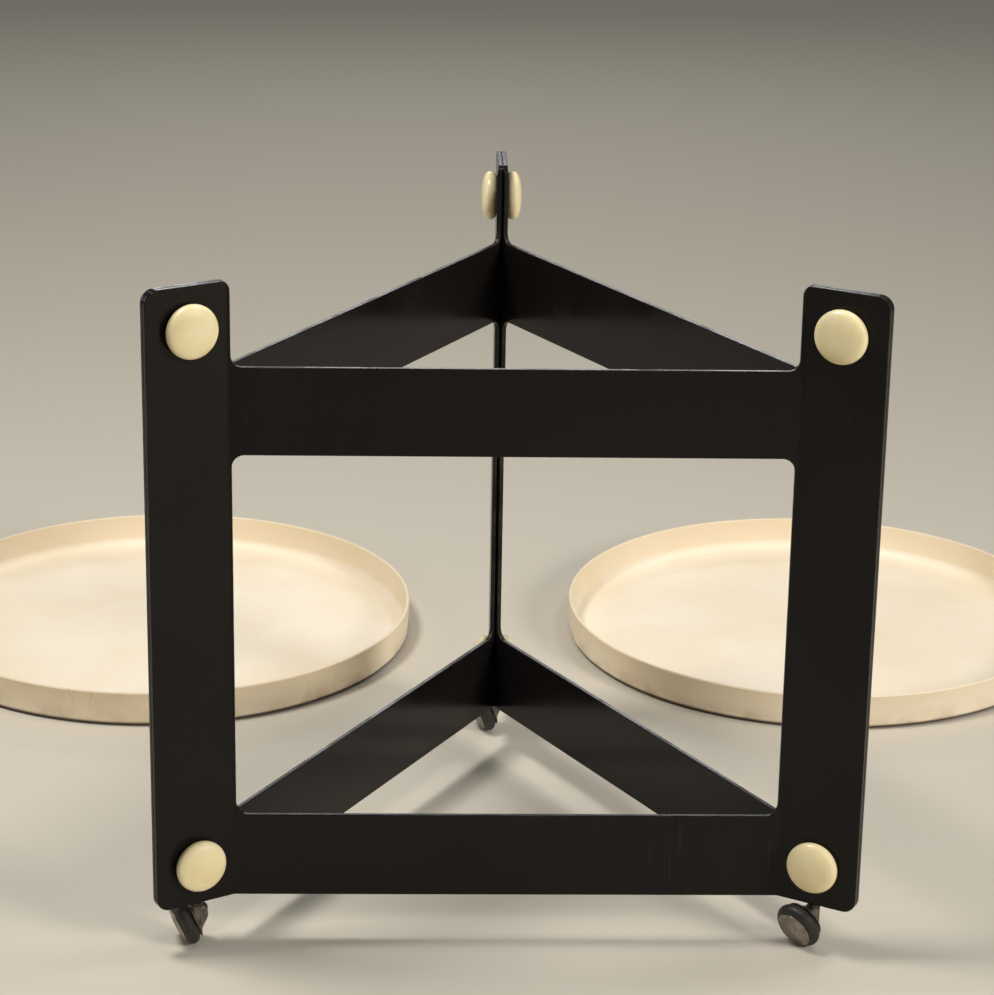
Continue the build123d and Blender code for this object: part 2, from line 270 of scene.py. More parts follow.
@dataclass(frozen=True)
class StoveEnamel(Finish):
    """Stove enamel on sheet steel.

    A deep warm black with a soft gloss, which shows a faint orange peel, hairline scratches, hand
    smears, specks of dust, and a little grey on its edges, partly rubbed wear and partly a painted
    highlight.
    """

    peel: float = 7.0
    hairline: float = 1.1  # coarser than real hairlines, which are too fine to show
    hairline_length: float = 90.0
    hairline_lean: Triple = (3.0, 2.0, 0.0)
    hairline_fields: float = 300.0
    speck_spacing: float = 22.0
    speck: float = 0.7
    smear: float = 70.0
    rub_and_glint: float = 45.0
    worn_and_glint: str = "#3a3632"
    dust: str = "#8c867b"

    def layers(self, skin: Skin) -> None:
        """Adds scratches, specks, edges greyed partly for wear and partly as a painted highlight,
        smears and the orange peel.

        Args:
            skin: The material in the making.
        """
        fields = skin.blots(self.hairline_fields, detail=2, start=0.45, end=0.65)
        skin.lay(self.dust, self.hairlines(skin), fields, share=0.07)
        skin.lay(self.dust, *self.specks(skin), share=0.35)
        # The edges are greyed: partly rubbed wear, partly a painted highlight.
        edge = skin.add("ShaderNodeAttribute", "Fac", {}, attribute_name="edge")
        rubbed_and_glinting = skin.blots(self.rub_and_glint, detail=6, start=0.52, end=0.68)
        skin.dull(skin.lay(self.worn_and_glint, edge, rubbed_and_glinting, share=0.6), amount=0.25)
        skin.dull(skin.blots(self.smear, detail=5, start=0.5, end=0.7), amount=0.1)
        peel = {"Vector": skin.place, "Scale": per_metre(self.peel), "Detail": 2}
        skin.height = skin.add("ShaderNodeTexNoise", "Fac", peel)

    def hairlines(self, skin: Skin) -> bpy.types.NodeSocket:
        """Mask of long, nearly upright scratches.

        Args:
            skin: The material in the making.

        Returns:
            The mask, 0 to 1.
        """
        fine, long = per_metre(self.hairline), per_metre(self.hairline_length)
        lean = [math.radians(angle) for angle in self.hairline_lean]
        stretch = {"Vector": skin.place, "Rotation": lean, "Scale": (fine, fine, long)}
        along = skin.add("ShaderNodeMapping", "Vector", stretch)
        strands = skin.add("ShaderNodeTexNoise", "Fac", {"Vector": along, "Scale": 1, "Detail": 1})
        ends = {"Value": strands, "From Min": 0.7, "From Max": 0.78}
        return skin.add("ShaderNodeMapRange", "Result", ends)

    def specks(self, skin: Skin) -> list[bpy.types.NodeSocket]:
        """Masks of specks of dust: the middle of each cell, and the cells that have one.

        Args:
            skin: The material in the making.

        Returns:
            The two masks, 0 to 1.
        """
        cells = {"Vector": skin.place, "Scale": per_metre(self.speck_spacing)}
        centre = skin.add("ShaderNodeTexVoronoi", "Distance", cells)
        chance = skin.add("ShaderNodeSeparateColor", "Red", {0: centre.node.outputs["Color"]})
        size = self.speck / self.speck_spacing
        near = {"Value": centre, "From Min": size, "From Max": size / 2}
        some = {"Value": chance, "From Min": 0.75, "From Max": 0.77}
        return [skin.add("ShaderNodeMapRange", "Result", ends) for ends in (near, some)]


@dataclass(frozen=True)
class IvoryPlastic(Finish):
    """Moulded urea plastic.

    A creamy yellow with a polished, slightly waxy gloss, faint flow clouds, and grime where a knob
    meets its panel.
    """

    ripple: float = 11.0
    smudge: float = 9.0
    fleck: float = 4.0
    fleck_fields: float = 30.0
    grime_and_shade: str = "#7d6b42"

    def layers(self, skin: Skin) -> None:
        """Adds the grime of the seat, flecks, and the unevenness of hand polishing.

        Args:
            skin: The material in the making.
        """
        seat = skin.add("ShaderNodeAttribute", "Fac", {}, attribute_name="seat")
        smudges = skin.blots(self.smudge, detail=4, start=0.3, end=0.6)
        skin.dull(skin.lay(self.grime_and_shade, seat, smudges, share=0.55), amount=0.3)
        flecks = skin.blots(self.fleck, detail=4, start=0.66, end=0.74)
        fields = skin.blots(self.fleck_fields, detail=2, start=0.5, end=0.6)
        skin.lay(self.grime_and_shade, flecks, fields, share=0.12)
        ripple = {"Vector": skin.place, "Scale": per_metre(self.ripple), "Detail": 2}
        skin.height = skin.add("ShaderNodeTexNoise", "Fac", ripple)


@dataclass(frozen=True)
class TrayPlastic(Finish):
    """Moulded cream plastic, mellowed with age.

    A satin cream inside. The walls are tinted tan, the outer one more, with soft brown stains that
    gather at the heel and hairline cracks that run up it. The heel is darkened with dark brown,
    which is painted shade with some grime, and there are scuffs on the floor.
    """

    tan: str = "#e2c9a0"
    stain: str = "#8f6c40"
    # dark brown of the heel: painted shade, with some grime
    grime_and_shade: str = "#332112"
    scuff: str = "#cdb184"
    stain_size: float = 30.0
    stain_height: float = 24.0
    blush_size: float = 100.0
    crack: float = 0.5
    crack_spacing: float = 70.0
    crack_length: float = 400.0
    crack_waver: float = 9.0
    crack_bend: float = 32.0
    crack_fields: float = 120.0
    scuff_size: float = 5.0
    scuff_fields: float = 45.0
    ripple: float = 60.0

    def layers(self, skin: Skin) -> None:
        """Adds the tan wall, stains, the painted shade of the heel with some grime, cracks, scuffs
        and the ripple of the moulding.

        Args:
            skin: The material in the making.
        """
        outside, heel, wall = [
            skin.add("ShaderNodeAttribute", "Fac", {}, attribute_name=name)
            for name in ("outside", "heel", "wall")
        ]
        skin.lay(self.tan, wall, share=0.4)
        skin.lay(self.tan, outside, share=0.1)
        up = skin.add("ShaderNodeSeparateXYZ", "Z", {0: skin.place})
        climb = {"Value": up, "From Min": self.stain_height * MM, "From Max": 0}
        low = skin.add("ShaderNodeMapRange", "Result", climb)
        stains = skin.blots(self.stain_size, detail=5, start=0.42, end=0.75)
        skin.dull(skin.lay(self.stain, stains, low, outside, share=0.6), amount=0.2)
        blush = skin.blots(self.blush_size, detail=3, start=0.5, end=0.75)
        skin.lay(self.stain, blush, outside, share=0.2)
        # Darkens the heel: painted shade along the bottom edge, with some grime.
        skin.lay(self.grime_and_shade, heel, share=0.92)
        fields = skin.blots(self.crack_fields, detail=2, start=0.5, end=0.6)
        skin.lay(self.stain, self.cracks(skin), outside, fields, share=0.22)
        fields = skin.blots(self.scuff_fields, detail=2, start=0.55, end=0.7)
        scuffs = skin.blots(self.scuff_size, detail=3, start=0.66, end=0.76)
        skin.dull(skin.lay(self.scuff, scuffs, fields, share=0.3), amount=0.3)
        ripple = {"Vector": skin.place, "Scale": per_metre(self.ripple), "Detail": 1}
        skin.height = skin.add("ShaderNodeTexNoise", "Fac", ripple)

    def cracks(self, skin: Skin) -> bpy.types.NodeSocket:
        """Mask of hairline cracks: the wavering seams between tall cells.

        Args:
            skin: The material in the making.

        Returns:
            The mask, 0 to 1.
        """
        bends = {"Vector": skin.place, "Scale": per_metre(self.crack_bend), "Detail": 2}
        waver = skin.add("ShaderNodeTexNoise", "Color", bends)
        shift = {0: waver, 1: [self.crack_waver * MM] * 3, 2: skin.place}
        bent = skin.add("ShaderNodeVectorMath", "Vector", shift, operation="MULTIPLY_ADD")
        wide, tall = per_metre(self.crack_spacing), per_metre(self.crack_length)
        stretch = {"Vector": bent, "Scale": (wide, wide, tall)}
        cells = {"Vector": skin.add("ShaderNodeMapping", "Vector", stretch), "Scale": 1}
        seam = skin.add("ShaderNodeTexVoronoi", "Distance", cells, feature="DISTANCE_TO_EDGE")
        size = self.crack / self.crack_spacing
        ends = {"Value": seam, "From Min": size, "From Max": size / 3}
        return skin.add("ShaderNodeMapRange", "Result", ends)


@dataclass(frozen=True)
class WorkedMetal(Finish):
    """Small parts of cast, pressed, plated or turned metal, or of black moulded plastic.

    Dull from handling, with the fine grain of how they were made, and darker spots.
    """

    grain: float = 1.6  # coarser than the real grain, which is too fine to show
    spotting: float = 3.5
    spot: str = "#4a453e"

    def layers(self, skin: Skin) -> None:
        """Adds dark spots and the grain.

        Args:
            skin: The material in the making.
        """
        spots = skin.blots(self.spotting, detail=4, start=0.58, end=0.72)
        skin.dull(skin.lay(self.spot, spots, share=0.35), amount=0.4)
        grain = {"Vector": skin.place, "Scale": per_metre(self.grain), "Detail": 3}
        skin.height = skin.add("ShaderNodeTexNoise", "Fac", grain)


@dataclass(frozen=True)
class TyreRubber(Finish):
    """Moulded black rubber, soft-edged and dull, greyed on the tread by floor dust."""

    dust: str = "#4c443b"
    dust_size: float = 5.0
    grain: float = 1.2  # coarser than the real grain, which is too fine to show

    def layers(self, skin: Skin) -> None:
        """Dusts the tread and roughens the skin.

        Args:
            skin: The material in the making.
        """
        tread = skin.add("ShaderNodeAttribute", "Fac", {}, attribute_name="tread")
        dusty = skin.blots(self.dust_size, detail=4, start=0.4, end=0.75)
        skin.dull(skin.lay(self.dust, tread, dusty, share=0.45), amount=0.4)
        grain = {"Vector": skin.place, "Scale": per_metre(self.grain), "Detail": 2}
        skin.height = skin.add("ShaderNodeTexNoise", "Fac", grain)


# Flowed out and baked in the oven: a deep, smooth black that mirrors softly.
ENAMEL = StoveEnamel(
    name="black stove enamel",
    slot="black_lacquer",
    colour="#14110f",
    second="#191614",
    roughness=0.2,
    spread=0.04,
    clouds=150,
    relief=0.006,
    specular=0.17,
)
# Pressed in a hot mould and polished: a warm, waxy cream with a soft highlight.
IVORY = IvoryPlastic(
    name="ivory urea plastic",
    slot="ivory_plastic",
    colour="#f5e4b6",
    second="#eed9a2",
    roughness=0.3,
    spread=0.05,
    clouds=24,
    relief=0.02,
    ior=1.55,
)
# Moulded in one piece and worn by wiping: an even satin without a sharp highlight.
CREAM = TrayPlastic(
    name="cream moulded plastic",
    slot="cream_plastic",
    colour="#f8e9d0",
    second="#f2dfc0",
    roughness=0.45,
    spread=0.07,
    clouds=140,
    relief=0.25,
    specular=0.25,
)
# Cast and left as it came: a soft grey sheen that has gone dark in places.
CASTING = WorkedMetal(
    name="die-cast zinc",
    slot="cast_zinc",
    colour="#827d75",
    second="#5d5850",
    roughness=0.42,
    spread=0.08,
    clouds=12,
    relief=0.02,
    metallic=1.0,
)
# Pressed from bright sheet: paler and smoother than the castings.
PRESSING = WorkedMetal(
    name="pressed steel",
    slot="pressed_steel",
    colour="#a0998d",
    second="#7f786c",
    roughness=0.4,
    spread=0.06,
    clouds=10,
    relief=0.01,
    metallic=1.0,
)
# Blackened in a hot bath and oiled: dark grey with a low gleam.
BLACKENED = WorkedMetal(
    name="blackened steel",
    slot="blackened_steel",
    colour="#55514c",
    second="#37332f",
    roughness=0.4,
    spread=0.08,
    clouds=8,
    relief=0.02,
    metallic=1.0,
)
# Plated bright: the lightest and cleanest of the metals.
PLATED = WorkedMetal(
    name="zinc-plated steel",
    slot="zinc_plated_steel",
    colour="#b9b8b3",
    second="#9a9892",
    roughness=0.34,
    spread=0.06,
    clouds=8,
    relief=0.01,
    metallic=1.0,
)
# Turned on a lathe and since tarnished: yellow going brown.
BRASS = WorkedMetal(
    name="turned brass",
    slot="brass",
    colour="#c9a55a",
    second="#a98742",
    roughness=0.34,
    spread=0.06,
    clouds=8,
    relief=0.01,
    metallic=1.0,
)
# Moulded and never polished: a dull black.
HUB = WorkedMetal(
    name="black moulded plastic",
    slot="hub_plastic",
    colour="#262422",
    second="#1d1b1a",
    roughness=0.5,
    spread=0.06,
    clouds=8,
    relief=0.02,
)
# Moulded, and dusty from the floor: a soft black that greys along the tread.
RUBBER = TyreRubber(
    name="black rubber",
    slot="tyre_rubber",
    colour="#1c1917",
    second="#24201d",
    roughness=0.5,
    spread=0.07,
    clouds=14,
    relief=0.02,
)


class Workshop:
    """Keeps one material for each finish, and makes and dresses pieces."""

    def __init__(self) -> None:
        """Starts with no material made."""
        self.materials: dict[Finish, bpy.types.Material] = {}

    def material(self, finish: Finish) -> bpy.types.Material:
        """Finds the material of a finish, made when first asked for.

        Args:
            finish: The finish.

        Returns:
            Its material.
        """
        if finish not in self.materials:
            self.materials[finish] = finish.material()
        return self.materials[finish]

    def dress(self, node: str, finish: Finish) -> None:
        """Gives a CAD node, which stays as it is, its finish.

        Args:
            node: The node.
            finish: Its finish.
        """
        mesh = frame["nodes"][node].data
        mesh.materials.clear()
        mesh.materials.append(self.material(finish))
        LOG.info("%s keeps its CAD shape in %s", node, finish.name)

    def piece(
        self, bm: bmesh.types.BMesh, node: str, body: str, finish: Finish
    ) -> bpy.types.Object:
        """Makes a finished piece that stands for a CAD node.

        Args:
            bm: Its mesh, in place. It is freed.
            node: The CAD node that it stands for.
            body: The body that it rides on.
            finish: Its finish.

        Returns:
            The new object.
        """
        mesh = bpy.data.meshes.new(f"{node}_look")
        bm.to_mesh(mesh)
        bm.free()
        mesh.materials.append(self.material(finish))
        mesh.shade_smooth()
        made = bpy.data.objects.new(f"{node}_look", mesh)
        bpy.context.scene.collection.objects.link(made)
        weighted = made.modifiers.new("even shading", "WEIGHTED_NORMAL")
        weighted.keep_sharp = True
        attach(made, body)
        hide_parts(node)
        LOG.info("%s: %d faces in %s", made.name, len(mesh.polygons), finish.name)
        return made


def arc(centre: Point, radius: float, start: float, end: float, steps: int) -> list[Point]:
    """Points along a round stretch of a turned profile.

    Args:
        centre: Radius and height of the arc's centre.
        radius: Its radius.
        start: First angle, from straight outwards, anticlockwise.
        end: Last angle.
        steps: Number of chords.

    Returns:
        The points from start to end.
    """
    angles = [math.radians(start + (end - start) * i / steps) for i in range(steps + 1)]
    return [(centre[0] + radius * math.cos(a), centre[1] + radius * math.sin(a)) for a in angles]


def turned(profile: Sequence[Point], steps: int, ring: bool = False) -> bmesh.types.BMesh:
    """Spins a profile about Z into a closed shell.

    Args:
        profile: Radius and height of each point.
        steps: Number of steps round.
        ring: Whether the profile closes on itself, away from the axis.

    Returns:
        The shell.
    """
    bm = bmesh.new()
    verts = [bm.verts.new((r * MM, 0, z * MM)) for r, z in profile]
    pairs = list(zip(verts, verts[1:])) + ([(verts[-1], verts[0])] if ring else [])
    edges = [bm.edges.new(pair) for pair in pairs]
    bmesh.ops.spin(
        bm, geom=verts + edges, axis=(0, 0, 1), angle=math.tau, steps=steps, use_merge=True
    )
    bmesh.ops.remove_doubles(bm, verts=bm.verts[:], dist=MERGE)
    bmesh.ops.recalc_face_normals(bm, faces=bm.faces[:])
    return bm


def cut(body: bmesh.types.BMesh, drills: bmesh.types.BMesh) -> bmesh.types.BMesh:
    """Cuts drills out of a closed mesh, with a modifier on two passing objects.

    Args:
        body: The mesh that is bored. It is freed.
        drills: Closed meshes where material goes. They are freed.

    Returns:
        What is left of the body.
    """
    held = []
    for bm in (body, drills):
        mesh = bpy.data.meshes.new("bench")
        bm.to_mesh(mesh)
        bm.free()
        held.append(bpy.data.objects.new("bench", mesh))
        bpy.context.scene.collection.objects.link(held[-1])
    bores = held[0].modifiers.new("bores", "BOOLEAN")
    bores.operation = "DIFFERENCE"
    bores.solver = "EXACT"
    bores.object = held[1]
    rest = bmesh.new()
    rest.from_object(held[0], bpy.context.evaluated_depsgraph_get())
    for thing in held:
        bpy.data.meshes.remove(thing.data)  # takes the object with it
    return rest


def mark(bm: bmesh.types.BMesh, name: str, values: Iterable[float]) -> None:
    """Stores one number per vertex, which a finish reads as an attribute.

    Args:
        bm: The mesh.
        name: Name of the attribute.
        values: A number for each vertex, in order.
    """
    layer = bm.verts.layers.float.new(name)
    for vert, value in zip(bm.verts, values):
        vert[layer] = value


def smooth_copy(node: str, sharp: float = 35.0) -> bmesh.types.BMesh:
    """Copies a CAD node's mesh and merges it.

    Args:
        node: The node.
        sharp: Angle from which an edge stays sharp.

    Returns:
        The merged copy.
    """
    bm = bmesh.new()
    bm.from_mesh(frame["nodes"][node].data)
    bmesh.ops.remove_doubles(bm, verts=bm.verts[:], dist=MERGE)
    for edge in bm.edges:
        edge.smooth = edge.calc_face_angle(0.0) < math.radians(sharp)
    return bm


@dataclass
class PanelFrame:
    """Three bent panels, which meet back to back in fins at the corners."""

    shop: Workshop
    sheet: float = SHEET
    post_width: float = 86.0
    lower_rail: float = 84.0
    upper_rail: float = 84.0
    horn: float = 81.0  # height of the posts above the upper rail
    fin_angle: float = 30.0
    bend_radius: float = 4.0
    bend_margin: float = 1.5  # from the window's side to the bend
    bend_steps: int = 8
    window_corner: float = 12.0
    notch_corner: float = 10.0
    tip_inner: float = 10.5
    tip_outer: float = 13.0
    corner_steps: int = 10
    edge_round: float = 0.8
    edge_steps: int = 4
    edge_angle: float = 60.0  # edges of the blank that are sharper are rounded
    stud_hole: float = 6.60
    pocket: float = 8.10  # diameter of the seam's pocket for a caster socket
    pocket_gap: float = 0.30
    bore_steps: int = 32
    bottom: float = field(init=False)
    height: float = field(init=False)
    inside: float = field(init=False)  # from the frame's axis to a panel's inner face
    outer_bend: float = field(init=False)
    bend_start: float = field(init=False)
    bend_end: float = field(init=False)
    half_width: float = field(init=False)
    half_window: float = field(init=False)
    pocket_depth: float = field(init=False)
    stud_heights: list[float] = field(init=False)

    def __post_init__(self) -> None:
        """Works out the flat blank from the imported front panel."""
        low, high = (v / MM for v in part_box("front_panel"))
        self.bottom, self.height = low.z, high.z - low.z
        self.inside = -high.y
        angle = math.radians(self.fin_angle)
        self.outer_bend = self.bend_radius + self.sheet
        setback = self.outer_bend * math.tan(angle / 2)
        stem = Vector(joint("left_caster_swivel")["pos_m"]) / MM
        post_outer = stem.xy.length + self.post_width / 2
        self.bend_start = self.inside / math.tan(angle) - setback
        self.bend_end = self.bend_start + self.outer_bend * angle
        self.half_width = self.bend_end + post_outer - self.inside / math.sin(angle) - setback
        self.half_window = self.bend_start - self.bend_margin
        stem_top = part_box("left_caster_stem")[1].z / MM
        self.pocket_depth = stem_top + self.pocket_gap - self.bottom
        knobs = [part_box(f"left_{level.value}_front_knob") for level in Level]
        self.stud_heights = [(a.z + b.z) / 2 / MM - self.bottom for a, b in knobs]

    def build(self) -> None:
        """Makes the three panels round the frame's axis."""
        for node, turn in (("front_panel", 0), ("right_panel", 120), ("left_panel", 240)):
            bm = self.panel()
            bm.transform(Matrix.Rotation(math.radians(turn), 4, "Z"))
            self.shop.piece(bm, node, "frame", ENAMEL)

    def outline(self, bm: bmesh.types.BMesh, corners: Sequence[Triple]) -> None:
        """Draws an outline of the blank with rounded corners.

        Args:
            bm: Mesh to draw in, in the XZ plane.
            corners: Place along the sheet, height and radius of each corner.
        """
        verts = [bm.verts.new((u * MM, 0, z * MM)) for u, z, _ in corners]
        bm.faces.new(verts)
        for radius in sorted({r for _, _, r in corners}):
            chosen = [v for v, (_, _, r) in zip(verts, corners) if r == radius]
            bmesh.ops.bevel(
                bm,
                geom=chosen,
                offset=radius * MM,
                offset_type="OFFSET",
                segments=self.corner_steps,
                profile=0.5,
                affect="VERTICES",
                material=-1,
            )

    def blank(self) -> bmesh.types.BMesh:
        """Cuts the flat blank: contact face on Y 0, front towards -Y, with rounded edges.

        Returns:
            The blank.
        """
        bm = bmesh.new()
        top, wide, half = self.height, self.half_width, self.half_window
        seat = top - self.horn
        right = [
            (wide, 0, self.tip_outer),
            (wide, top, self.tip_outer),
            (half, top, self.tip_inner),
            (half, seat, self.notch_corner),
        ]
        self.outline(bm, right + [(-u, z, r) for u, z, r in reversed(right)])
        high = seat - self.upper_rail
        side = [(half, self.lower_rail, self.window_corner), (half, high, self.window_corner)]
        self.outline(bm, side + [(-u, z, r) for u, z, r in reversed(side)])
        bmesh.ops.delete(bm, geom=bm.faces[:], context="FACES_ONLY")
        bmesh.ops.triangle_fill(bm, edges=bm.edges[:], use_beauty=True, normal=(0, 1, 0))
        bmesh.ops.solidify(bm, geom=bm.faces[:], thickness=self.sheet * MM)
        front = min(v.co.y for v in bm.verts)
        bmesh.ops.translate(bm, verts=bm.verts[:], vec=(0, -self.sheet * MM - front, 0))
        rim = [e for e in bm.edges if e.calc_face_angle(0.0) > math.radians(self.edge_angle)]
        bmesh.ops.bevel(
            bm,
            geom=rim,
            offset=self.edge_round * MM,
            offset_type="OFFSET",
            segments=self.edge_steps,
            profile=0.5,
            affect="EDGES",
            material=-1,
        )
        return bm

    def drills(self) -> bmesh.types.BMesh:
        """Sets out drills for the studs, and for the blank's half of the caster sockets.

        A drill is centred where it goes in, so only half of its length cuts.

        Returns:
            The drills, in the place of the flat blank.
        """
        bm = bmesh.new()
        middle = self.half_width - self.post_width / 2
        across = Matrix.Rotation(math.pi / 2, 4, "X")
        for side in (-1, 1):
            post = Matrix.Translation((side * middle * MM, 0, 0))
            bores = [(post, self.pocket, 2 * self.pocket_depth)]
            for height in self.stud_heights:
                place = post @ Matrix.Translation((0, 0, height * MM)) @ across
                bores.append((place, self.stud_hole, 4 * self.sheet))
            for place, diameter, length in bores:
                bmesh.ops.create_cone(
                    bm,
                    cap_ends=True,
                    segments=self.bore_steps,
                    radius1=diameter / 2 * MM,
                    radius2=diameter / 2 * MM,
                    depth=length * MM,
                    matrix=place,
                )
        return bm

    def panel(self) -> bmesh.types.BMesh:
        """Bores a blank and bends it into the front panel.

        Returns:
            The panel.
        """
        bm = cut(self.blank(), self.drills())
        depth = self.sheet * MM
        mark(bm, "edge", [float(MERGE < -v.co.y < depth - MERGE) for v in bm.verts])
        for side in (-1, 1):
            for step in range(self.bend_steps + 1):
                share = step / self.bend_steps
                u = self.bend_start + (self.bend_end - self.bend_start) * share
                bmesh.ops.bisect_plane(
                    bm,
                    geom=bm.verts[:] + bm.edges[:] + bm.faces[:],
                    dist=MERGE,
                    plane_co=(side * u * MM, 0, 0),
                    plane_no=(1, 0, 0),
                )
        for vert in bm.verts:
            vert.co = self.bent(vert.co / MM) * MM
        bmesh.ops.recalc_face_normals(bm, faces=bm.faces[:])
        return bm

    def bent(self, flat: Vector) -> Vector:
        """Where a point of the flat blank goes when the sheet is bent.

        Args:
            flat: Point of the blank, in millimetres.

        Returns:
            Its place in the front panel.
        """
        along, depth = abs(flat.x), -flat.y
        turn = (min(max(along, self.bend_start), self.bend_end) - self.bend_start) / self.outer_bend
        reach = self.outer_bend - depth
        x = min(along, self.bend_start) + reach * math.sin(turn)
        y = -self.inside - self.outer_bend + reach * math.cos(turn)
        past = max(along - self.bend_end, 0.0)
        x += past * math.cos(turn)
        y -= past * math.sin(turn)
        return Vector((math.copysign(x, flat.x), y, self.bottom + flat.z))


@dataclass
class KnobSet:
    """Ivory knobs in pairs on the fins, with the studs and inserts that they hide."""

    shop: Workshop
    sheet: float = SHEET
    diameter: float = 51.0
    edge: float = 7.0
    edge_steps: int = 10
    crown: float = 2.0
    fullness: float = 2.5  # power of the curve from rim to crown: 2 is an ellipse
    face_steps: int = 22
    steps: int = 72

    def build(self) -> None:
        """Places a knob on both faces of each fin, low and high."""
        words = {
            Corner.LEFT: (Side.SIDE, Side.FRONT),
            Corner.RIGHT: (Side.FRONT, Side.SIDE),
            Corner.REAR: (Side.RIGHT, Side.LEFT),
        }
        for corner, pair in words.items():
            stem = Vector(joint(f"{corner.value}_caster_swivel")["pos_m"])
            across = Vector((-stem.y, stem.x, 0)).normalized()
            for level in Level:
                for word, outwards in zip(pair, (-across, across)):
                    node = f"{corner.value}_{level.value}_{word.value}_knob"
                    self.clamp(node, stem, outwards)
        self.shop.dress("clamp_studs", PLATED)
        self.shop.dress("knob_inserts", BRASS)

    def clamp(self, node: str, stem: Vector, outwards: Vector) -> None:
        """Seats a knob on one face of a fin.

        Args:
            node: Its CAD node, which gives the height.
            stem: Where the caster's stem stands, in the middle of the fin.
            outwards: Direction in which the face looks.
        """
        low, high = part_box(node)
        face = Vector((stem.x, stem.y, (low.z + high.z) / 2))
        face += outwards * self.sheet * MM
        turn = outwards.to_track_quat("Z", "Y").to_matrix().to_4x4()
        bm = self.knob()
        bm.transform(Matrix.Translation(face) @ turn)
        self.shop.piece(bm, node, "frame", IVORY)

    def knob(self) -> bmesh.types.BMesh:
        """Turns a pebble-shaped knob that stands on the XY plane.

        Returns:
            The knob.
        """
        radius, rise = self.diameter / 2, self.edge + self.crown
        profile = [(0.0, 0.0)]
        profile += arc((radius - self.edge, self.edge), self.edge, -90, 0, self.edge_steps)
        power = 2 / self.fullness
        for step in range(1, self.face_steps + 1):
            turn = math.pi / 2 * step / self.face_steps
            out, up = abs(math.cos(turn)), math.sin(turn)
            profile.append((radius * out**power, self.edge + rise * up**power))
        bm = turned(profile, self.steps)
        mark(bm, "seat", [max(0.0, 1 - v.co.z / (self.edge * MM)) for v in bm.verts])
        return bm


@dataclass
class BallCaster:
    """A ball caster: a tilted wheel under a cast hood, on a stem in the seam of a fin."""

    shop: Workshop
    corner: Corner
    wheel_diameter: float = 47.6
    tyre_width: float = 13.8
    tyre_seat: float = 15.0
    tread_steps: int = 20
    cap_diameter: float = 37.2
    cap_rise: float = 3.0
    cap_dome: float = 0.93  # share of the dome that the lip leaves in sight
    dome_steps: int = 12
    cap_lip: float = 0.9
    lip_curl: float = 60.0  # angle at which the lip runs into the dome
    lip_steps: int = 6
    cast_skin: float = 0.45  # grain to which the hood's mesh is melted together
    melt: float = 0.5
    melt_passes: int = 10
    steps: int = 72

    def build(self) -> None:
        """Makes the wheel's pieces and dresses the rest."""
        name = self.corner.value
        spin = joint(f"{name}_wheel_spin")
        turn = Vector(spin["axis"]).to_track_quat("Z", "Y").to_matrix().to_4x4()
        axle = Matrix.Translation(Vector(spin["pos_m"])) @ turn
        for bm, node, finish in (
            (self.tyre(), "wheel_tyre", RUBBER),
            (self.cap(), "hub_cap", PRESSING),
        ):
            bm.transform(axle)
            self.shop.piece(bm, f"{name}_{node}", f"wheel_{name}", finish)
        self.hood()
        stem, socket = f"{name}_caster_stem", f"{name}_caster_socket"
        self.shop.piece(smooth_copy(stem), stem, f"caster_{name}", BLACKENED)
        self.shop.piece(smooth_copy(socket), socket, "frame", BLACKENED)
        self.shop.dress(f"{name}_wheel_hub", HUB)
        self.shop.dress(f"{name}_caster_ring", PLATED)
        self.shop.dress(f"{name}_wheel_axle", PLATED)

    def hood(self) -> None:
        """Copies the CAD hood, and melts its creases together as a casting's are."""
        node = f"{self.corner.value}_caster_hood"
        made = self.shop.piece(smooth_copy(node), node, f"caster_{self.corner.value}", CASTING)
        made.modifiers.clear()
        skin = made.modifiers.new("cast skin", "REMESH")
        skin.mode = "VOXEL"
        skin.voxel_size = self.cast_skin * MM
        skin.use_smooth_shade = True
        melt = made.modifiers.new("melted creases", "SMOOTH")
        melt.factor = self.melt
        melt.iterations = self.melt_passes

    def tyre(self) -> bmesh.types.BMesh:
        """Turns a tyre with a full round tread about the axle.

        Returns:
            The tyre, with its axle along Z.
        """
        half = self.tyre_width / 2
        middle = self.wheel_diameter / 2 - half
        profile = [(self.tyre_seat, half), (self.tyre_seat, -half)]
        profile += arc((middle, 0), half, -90, 90, self.tread_steps)
        bm = turned(profile, self.steps, ring=True)
        outer, inner = self.wheel_diameter / 2 * MM, middle * MM
        mark(bm, "tread", [(v.co.xy.length - inner) / (outer - inner) for v in bm.verts])
        return bm

    def cap(self) -> bmesh.types.BMesh:
        """Turns a shallow domed hub cap with a rolled lip.

        Returns:
            The cap, with its axle along Z.
        """
        radius = self.cap_diameter / 2
        seat = self.tyre_width / 2
        curve = (radius**2 + self.cap_rise**2) / (2 * self.cap_rise)
        lean = self.cap_dome * math.degrees(math.asin(radius / curve))
        lip = self.cap_lip / 2
        profile = [(0.0, seat)]
        profile += arc((radius - lip, seat + lip), lip, -90, self.lip_curl, self.lip_steps)
        profile += arc((0.0, seat + self.cap_rise - curve), curve, 90 - lean, 90, self.dome_steps)
        return turned(profile, self.steps)


